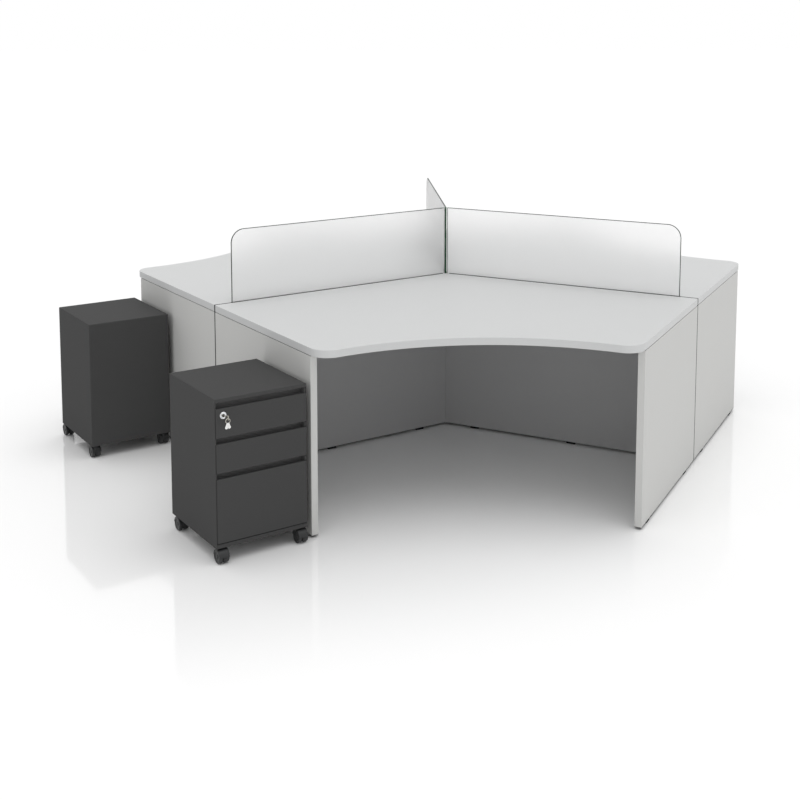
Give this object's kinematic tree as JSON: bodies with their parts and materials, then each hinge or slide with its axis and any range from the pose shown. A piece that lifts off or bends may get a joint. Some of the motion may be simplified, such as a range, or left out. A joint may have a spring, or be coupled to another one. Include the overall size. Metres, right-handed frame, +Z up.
{
  "type": "three-seat workstation cluster",
  "caption": "Workstation desks joined back to back round a centre, with frosted glass screens, panel legs and mobile drawer pedestals on castors.",
  "frame": {"origin": "on the floor, at the middle of the whole footprint with both pedestals in place", "axes": "+Z up, +Y from the front desk's sitter towards the cluster's axis, +X to that sitter's right"},
  "size_m": [3.2683, 2.7524, 1.048],
  "materials": {
    "worktop_laminate": "matt light-grey melamine on chipboard",
    "end_panel_laminate": "matt grey melamine on chipboard",
    "modesty_laminate": "matt dark-grey melamine on chipboard",
    "frosted_glass": "satin etched toughened glass",
    "graphite_steel": "fine-textured graphite powder coat",
    "zinc_steel": "bright zinc",
    "chrome": "polished chrome",
    "nickel_steel": "nickel plated",
    "white_plastic": "moulded white",
    "black_plastic": "moulded black",
    "castor_nylon": "moulded black nylon",
    "beech": "turned and ribbed"
  },
  "bodies": {
    "desk_cluster": {"front_desk_worktop": "worktop_laminate", "front_desk_left_end_panel": "end_panel_laminate", "front_desk_left_modesty_panel": "modesty_laminate", "front_desk_right_end_panel": "end_panel_laminate", "front_desk_right_modesty_panel": "modesty_laminate", "right_desk_worktop": "worktop_laminate", "right_desk_left_end_panel": "end_panel_laminate", "right_desk_left_modesty_panel": "modesty_laminate", "right_desk_right_end_panel": "end_panel_laminate", "right_desk_right_modesty_panel": "modesty_laminate", "left_desk_worktop": "worktop_laminate", "left_desk_left_end_panel": "end_panel_laminate", "left_desk_left_modesty_panel": "modesty_laminate", "left_desk_right_end_panel": "end_panel_laminate", "left_desk_right_modesty_panel": "modesty_laminate", "left_screen": "frosted_glass", "right_screen": "frosted_glass", "rear_screen": "frosted_glass", "cam_bolts": "zinc_steel", "cam_locks": "zinc_steel", "dowels": "beech", "floor_glides": "black_plastic", "screen_bolts": "zinc_steel", "screen_bushes": "black_plastic"},
    "front_pedestal_cabinet": {"front_pedestal_carcass": "graphite_steel", "front_pedestal_base_pan": "graphite_steel", "front_pedestal_runners": "zinc_steel"},
    "front_pedestal_top_drawer": {"front_pedestal_top_drawer": "graphite_steel", "front_pedestal_lock_barrel": "chrome"},
    "front_pedestal_middle_drawer": {"front_pedestal_middle_drawer": "graphite_steel"},
    "front_pedestal_file_drawer": {"front_pedestal_file_drawer": "graphite_steel"},
    "front_pedestal_lock": {"front_pedestal_lock_plug": "chrome", "front_pedestal_key": "nickel_steel"},
    "front_pedestal_key_tag": {"front_pedestal_key_tag": "white_plastic"},
    "front_pedestal_front_left_castor": {"front_pedestal_front_left_castor": "black_plastic"},
    "front_pedestal_front_left_wheels": {"front_pedestal_front_left_wheels": "castor_nylon"},
    "front_pedestal_front_right_castor": {"front_pedestal_front_right_castor": "black_plastic"},
    "front_pedestal_front_right_wheels": {"front_pedestal_front_right_wheels": "castor_nylon"},
    "front_pedestal_back_left_castor": {"front_pedestal_back_left_castor": "black_plastic"},
    "front_pedestal_back_left_wheels": {"front_pedestal_back_left_wheels": "castor_nylon"},
    "front_pedestal_back_right_castor": {"front_pedestal_back_right_castor": "black_plastic"},
    "front_pedestal_back_right_wheels": {"front_pedestal_back_right_wheels": "castor_nylon"},
    "left_pedestal_cabinet": {"left_pedestal_carcass": "graphite_steel", "left_pedestal_base_pan": "graphite_steel", "left_pedestal_runners": "zinc_steel"},
    "left_pedestal_top_drawer": {"left_pedestal_top_drawer": "graphite_steel", "left_pedestal_lock_barrel": "chrome"},
    "left_pedestal_middle_drawer": {"left_pedestal_middle_drawer": "graphite_steel"},
    "left_pedestal_file_drawer": {"left_pedestal_file_drawer": "graphite_steel"},
    "left_pedestal_lock": {"left_pedestal_lock_plug": "chrome", "left_pedestal_key": "nickel_steel"},
    "left_pedestal_key_tag": {"left_pedestal_key_tag": "white_plastic"},
    "left_pedestal_front_left_castor": {"left_pedestal_front_left_castor": "black_plastic"},
    "left_pedestal_front_left_wheels": {"left_pedestal_front_left_wheels": "castor_nylon"},
    "left_pedestal_front_right_castor": {"left_pedestal_front_right_castor": "black_plastic"},
    "left_pedestal_front_right_wheels": {"left_pedestal_front_right_wheels": "castor_nylon"},
    "left_pedestal_back_left_castor": {"left_pedestal_back_left_castor": "black_plastic"},
    "left_pedestal_back_left_wheels": {"left_pedestal_back_left_wheels": "castor_nylon"},
    "left_pedestal_back_right_castor": {"left_pedestal_back_right_castor": "black_plastic"},
    "left_pedestal_back_right_wheels": {"left_pedestal_back_right_wheels": "castor_nylon"}
  },
  "joints": [
    {"name": "front_pedestal_roll", "type": "slide", "parent": "desk_cluster", "child": "front_pedestal_cabinet", "axis": [0.5, -0.866, 0], "range_m": [0, 0.6]},
    {"name": "front_pedestal_top_drawer_slide", "type": "slide", "parent": "front_pedestal_cabinet", "child": "front_pedestal_top_drawer", "axis": [0.5, -0.866, 0], "range_m": [0, 0.28]},
    {"name": "front_pedestal_middle_drawer_slide", "type": "slide", "parent": "front_pedestal_cabinet", "child": "front_pedestal_middle_drawer", "axis": [0.5, -0.866, 0], "range_m": [0, 0.28]},
    {"name": "front_pedestal_file_drawer_slide", "type": "slide", "parent": "front_pedestal_cabinet", "child": "front_pedestal_file_drawer", "axis": [0.5, -0.866, 0], "range_m": [0, 0.28]},
    {"name": "front_pedestal_lock_turn", "type": "hinge", "parent": "front_pedestal_top_drawer", "child": "front_pedestal_lock", "pos_m": [-0.76056, -1.33586, 0.547], "axis": [-0.5, 0.866, 0], "range_deg": [0, 90]},
    {"name": "front_pedestal_key_tag_swing", "type": "hinge", "parent": "front_pedestal_lock", "child": "front_pedestal_key_tag", "pos_m": [-0.74156, -1.36877, 0.547], "axis": [0.866, 0.5, 0], "range_deg": [-70, 40]},
    {"name": "front_pedestal_front_left_castor_swivel", "type": "hinge", "parent": "front_pedestal_cabinet", "child": "front_pedestal_front_left_castor", "pos_m": [-0.78099, -1.31648, 0.057], "axis": [0, 0, 1], "continuous": true},
    {"name": "front_pedestal_front_left_wheels_roll", "type": "hinge", "parent": "front_pedestal_front_left_castor", "child": "front_pedestal_front_left_wheels", "pos_m": [-0.77499, -1.32687, 0.025], "axis": [0.866, 0.5, 0], "continuous": true},
    {"name": "front_pedestal_front_right_castor_swivel", "type": "hinge", "parent": "front_pedestal_cabinet", "child": "front_pedestal_front_right_castor", "pos_m": [-0.50213, -1.15548, 0.057], "axis": [0, 0, 1], "continuous": true},
    {"name": "front_pedestal_front_right_wheels_roll", "type": "hinge", "parent": "front_pedestal_front_right_castor", "child": "front_pedestal_front_right_wheels", "pos_m": [-0.49613, -1.16587, 0.025], "axis": [0.866, 0.5, 0], "continuous": true},
    {"name": "front_pedestal_back_left_castor_swivel", "type": "hinge", "parent": "front_pedestal_cabinet", "child": "front_pedestal_back_left_castor", "pos_m": [-0.95699, -1.01164, 0.057], "axis": [0, 0, 1], "continuous": true},
    {"name": "front_pedestal_back_left_wheels_roll", "type": "hinge", "parent": "front_pedestal_back_left_castor", "child": "front_pedestal_back_left_wheels", "pos_m": [-0.95099, -1.02203, 0.025], "axis": [0.866, 0.5, 0], "continuous": true},
    {"name": "front_pedestal_back_right_castor_swivel", "type": "hinge", "parent": "front_pedestal_cabinet", "child": "front_pedestal_back_right_castor", "pos_m": [-0.67813, -0.85064, 0.057], "axis": [0, 0, 1], "continuous": true},
    {"name": "front_pedestal_back_right_wheels_roll", "type": "hinge", "parent": "front_pedestal_back_right_castor", "child": "front_pedestal_back_right_wheels", "pos_m": [-0.67213, -0.86103, 0.025], "axis": [0.866, 0.5, 0], "continuous": true},
    {"name": "left_pedestal_roll", "type": "slide", "parent": "desk_cluster", "child": "left_pedestal_cabinet", "axis": [-0.5, 0.866, 0], "range_m": [0, 0.6]},
    {"name": "left_pedestal_top_drawer_slide", "type": "slide", "parent": "left_pedestal_cabinet", "child": "left_pedestal_top_drawer", "axis": [-0.5, 0.866, 0], "range_m": [0, 0.28]},
    {"name": "left_pedestal_middle_drawer_slide", "type": "slide", "parent": "left_pedestal_cabinet", "child": "left_pedestal_middle_drawer", "axis": [-0.5, 0.866, 0], "range_m": [0, 0.28]},
    {"name": "left_pedestal_file_drawer_slide", "type": "slide", "parent": "left_pedestal_cabinet", "child": "left_pedestal_file_drawer", "axis": [-0.5, 0.866, 0], "range_m": [0, 0.28]},
    {"name": "left_pedestal_lock_turn", "type": "hinge", "parent": "left_pedestal_top_drawer", "child": "left_pedestal_lock", "pos_m": [-1.33855, 0.27726, 0.547], "axis": [0.5, -0.866, 0], "range_deg": [0, 90]},
    {"name": "left_pedestal_key_tag_swing", "type": "hinge", "parent": "left_pedestal_lock", "child": "left_pedestal_key_tag", "pos_m": [-1.35755, 0.31017, 0.547], "axis": [-0.866, -0.5, 0], "range_deg": [-70, 40]},
    {"name": "left_pedestal_front_left_castor_swivel", "type": "hinge", "parent": "left_pedestal_cabinet", "child": "left_pedestal_front_left_castor", "pos_m": [-1.31813, 0.25787, 0.057], "axis": [0, 0, 1], "continuous": true},
    {"name": "left_pedestal_front_left_wheels_roll", "type": "hinge", "parent": "left_pedestal_front_left_castor", "child": "left_pedestal_front_left_wheels", "pos_m": [-1.32413, 0.26827, 0.025], "axis": [-0.866, -0.5, 0], "continuous": true},
    {"name": "left_pedestal_front_right_castor_swivel", "type": "hinge", "parent": "left_pedestal_cabinet", "child": "left_pedestal_front_right_castor", "pos_m": [-1.59699, 0.09687, 0.057], "axis": [0, 0, 1], "continuous": true},
    {"name": "left_pedestal_front_right_wheels_roll", "type": "hinge", "parent": "left_pedestal_front_right_castor", "child": "left_pedestal_front_right_wheels", "pos_m": [-1.60299, 0.10727, 0.025], "axis": [-0.866, -0.5, 0], "continuous": true},
    {"name": "left_pedestal_back_left_castor_swivel", "type": "hinge", "parent": "left_pedestal_cabinet", "child": "left_pedestal_back_left_castor", "pos_m": [-1.14213, -0.04697, 0.057], "axis": [0, 0, 1], "continuous": true},
    {"name": "left_pedestal_back_left_wheels_roll", "type": "hinge", "parent": "left_pedestal_back_left_castor", "child": "left_pedestal_back_left_wheels", "pos_m": [-1.14813, -0.03657, 0.025], "axis": [-0.866, -0.5, 0], "continuous": true},
    {"name": "left_pedestal_back_right_castor_swivel", "type": "hinge", "parent": "left_pedestal_cabinet", "child": "left_pedestal_back_right_castor", "pos_m": [-1.42099, -0.20797, 0.057], "axis": [0, 0, 1], "continuous": true},
    {"name": "left_pedestal_back_right_wheels_roll", "type": "hinge", "parent": "left_pedestal_back_right_castor", "child": "left_pedestal_back_right_wheels", "pos_m": [-1.42699, -0.19757, 0.025], "axis": [-0.866, -0.5, 0], "continuous": true}
  ]
}
